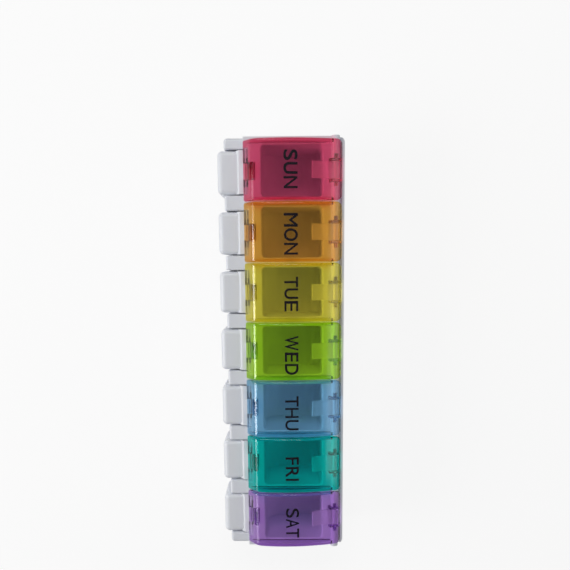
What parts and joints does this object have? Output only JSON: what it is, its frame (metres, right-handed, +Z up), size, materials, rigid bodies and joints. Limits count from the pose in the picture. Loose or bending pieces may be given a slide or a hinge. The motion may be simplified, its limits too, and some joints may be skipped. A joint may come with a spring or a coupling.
{
  "type": "weekly pill box",
  "caption": "Long pill box with a row of hinged clear tinted lids, a white push button that opens each one, and scooped wells in a white tray.",
  "frame": {"origin": "middle of the flat face that the box rests on", "axes": "+X along the row of days from the first to the last, +Y from the buttons to the lid hinges, +Z up"},
  "size_m": [0.167, 0.05, 0.03],
  "materials": {
    "white_tray": "satin, moulded",
    "white_button": "satin, moulded",
    "white_spring": "moulded acetal",
    "lid_sun": "clear tinted, moulded",
    "lid_mon": "clear tinted, moulded",
    "lid_tue": "clear tinted, moulded",
    "lid_wed": "clear tinted, moulded",
    "lid_thu": "clear tinted, moulded",
    "lid_fri": "clear tinted, moulded",
    "lid_sat": "clear tinted, moulded"
  },
  "bodies": {
    "tray": {"base_tray": "white_tray"},
    "lid_sun": {"lid_sun": "lid_sun"},
    "button_sun": {"button_sun": "white_button"},
    "spring_sun": {"spring_sun": "white_spring"},
    "lid_mon": {"lid_mon": "lid_mon"},
    "button_mon": {"button_mon": "white_button"},
    "spring_mon": {"spring_mon": "white_spring"},
    "lid_tue": {"lid_tue": "lid_tue"},
    "button_tue": {"button_tue": "white_button"},
    "spring_tue": {"spring_tue": "white_spring"},
    "lid_wed": {"lid_wed": "lid_wed"},
    "button_wed": {"button_wed": "white_button"},
    "spring_wed": {"spring_wed": "white_spring"},
    "lid_thu": {"lid_thu": "lid_thu"},
    "button_thu": {"button_thu": "white_button"},
    "spring_thu": {"spring_thu": "white_spring"},
    "lid_fri": {"lid_fri": "lid_fri"},
    "button_fri": {"button_fri": "white_button"},
    "spring_fri": {"spring_fri": "white_spring"},
    "lid_sat": {"lid_sat": "lid_sat"},
    "button_sat": {"button_sat": "white_button"},
    "spring_sat": {"spring_sat": "white_spring"}
  },
  "joints": [
    {"name": "lid_sun_hinge", "type": "hinge", "parent": "tray", "child": "lid_sun", "pos_m": [-0.0705, 0.0214, 0.0248], "axis": [-1, 0, 0], "range_deg": [0, 105]},
    {"name": "button_sun_press", "type": "hinge", "parent": "tray", "child": "button_sun", "pos_m": [-0.0705, -0.0175, 0.0135], "axis": [1, 0, 0], "range_deg": [0, 7], "stiffness_Nm_per_rad": 0.03, "springref_deg": -2.86},
    {"name": "spring_sun_lift", "type": "hinge", "parent": "tray", "child": "spring_sun", "pos_m": [-0.0705, 0.0214, 0.0248], "axis": [-1, 0, 0], "range_deg": [0, 14.1]},
    {"name": "lid_mon_hinge", "type": "hinge", "parent": "tray", "child": "lid_mon", "pos_m": [-0.047, 0.0214, 0.0248], "axis": [-1, 0, 0], "range_deg": [0, 105]},
    {"name": "button_mon_press", "type": "hinge", "parent": "tray", "child": "button_mon", "pos_m": [-0.047, -0.0175, 0.0135], "axis": [1, 0, 0], "range_deg": [0, 7], "stiffness_Nm_per_rad": 0.03, "springref_deg": -2.86},
    {"name": "spring_mon_lift", "type": "hinge", "parent": "tray", "child": "spring_mon", "pos_m": [-0.047, 0.0214, 0.0248], "axis": [-1, 0, 0], "range_deg": [0, 14.1]},
    {"name": "lid_tue_hinge", "type": "hinge", "parent": "tray", "child": "lid_tue", "pos_m": [-0.0235, 0.0214, 0.0248], "axis": [-1, 0, 0], "range_deg": [0, 105]},
    {"name": "button_tue_press", "type": "hinge", "parent": "tray", "child": "button_tue", "pos_m": [-0.0235, -0.0175, 0.0135], "axis": [1, 0, 0], "range_deg": [0, 7], "stiffness_Nm_per_rad": 0.03, "springref_deg": -2.86},
    {"name": "spring_tue_lift", "type": "hinge", "parent": "tray", "child": "spring_tue", "pos_m": [-0.0235, 0.0214, 0.0248], "axis": [-1, 0, 0], "range_deg": [0, 14.1]},
    {"name": "lid_wed_hinge", "type": "hinge", "parent": "tray", "child": "lid_wed", "pos_m": [0, 0.0214, 0.0248], "axis": [-1, 0, 0], "range_deg": [0, 105]},
    {"name": "button_wed_press", "type": "hinge", "parent": "tray", "child": "button_wed", "pos_m": [0, -0.0175, 0.0135], "axis": [1, 0, 0], "range_deg": [0, 7], "stiffness_Nm_per_rad": 0.03, "springref_deg": -2.86},
    {"name": "spring_wed_lift", "type": "hinge", "parent": "tray", "child": "spring_wed", "pos_m": [0, 0.0214, 0.0248], "axis": [-1, 0, 0], "range_deg": [0, 14.1]},
    {"name": "lid_thu_hinge", "type": "hinge", "parent": "tray", "child": "lid_thu", "pos_m": [0.0235, 0.0214, 0.0248], "axis": [-1, 0, 0], "range_deg": [0, 105]},
    {"name": "button_thu_press", "type": "hinge", "parent": "tray", "child": "button_thu", "pos_m": [0.0235, -0.0175, 0.0135], "axis": [1, 0, 0], "range_deg": [0, 7], "stiffness_Nm_per_rad": 0.03, "springref_deg": -2.86},
    {"name": "spring_thu_lift", "type": "hinge", "parent": "tray", "child": "spring_thu", "pos_m": [0.0235, 0.0214, 0.0248], "axis": [-1, 0, 0], "range_deg": [0, 14.1]},
    {"name": "lid_fri_hinge", "type": "hinge", "parent": "tray", "child": "lid_fri", "pos_m": [0.047, 0.0214, 0.0248], "axis": [-1, 0, 0], "range_deg": [0, 105]},
    {"name": "button_fri_press", "type": "hinge", "parent": "tray", "child": "button_fri", "pos_m": [0.047, -0.0175, 0.0135], "axis": [1, 0, 0], "range_deg": [0, 7], "stiffness_Nm_per_rad": 0.03, "springref_deg": -2.86},
    {"name": "spring_fri_lift", "type": "hinge", "parent": "tray", "child": "spring_fri", "pos_m": [0.047, 0.0214, 0.0248], "axis": [-1, 0, 0], "range_deg": [0, 14.1]},
    {"name": "lid_sat_hinge", "type": "hinge", "parent": "tray", "child": "lid_sat", "pos_m": [0.0705, 0.0214, 0.0248], "axis": [-1, 0, 0], "range_deg": [0, 105]},
    {"name": "button_sat_press", "type": "hinge", "parent": "tray", "child": "button_sat", "pos_m": [0.0705, -0.0175, 0.0135], "axis": [1, 0, 0], "range_deg": [0, 7], "stiffness_Nm_per_rad": 0.03, "springref_deg": -2.86},
    {"name": "spring_sat_lift", "type": "hinge", "parent": "tray", "child": "spring_sat", "pos_m": [0.0705, 0.0214, 0.0248], "axis": [-1, 0, 0], "range_deg": [0, 14.1]}
  ],
  "couplings": [
    {"joint": "spring_sun_lift", "follows": "lid_sun_hinge", "ratio": 0.1333},
    {"joint": "spring_mon_lift", "follows": "lid_mon_hinge", "ratio": 0.1333},
    {"joint": "spring_tue_lift", "follows": "lid_tue_hinge", "ratio": 0.1333},
    {"joint": "spring_wed_lift", "follows": "lid_wed_hinge", "ratio": 0.1333},
    {"joint": "spring_thu_lift", "follows": "lid_thu_hinge", "ratio": 0.1333},
    {"joint": "spring_fri_lift", "follows": "lid_fri_hinge", "ratio": 0.1333},
    {"joint": "spring_sat_lift", "follows": "lid_sat_hinge", "ratio": 0.1333}
  ]
}
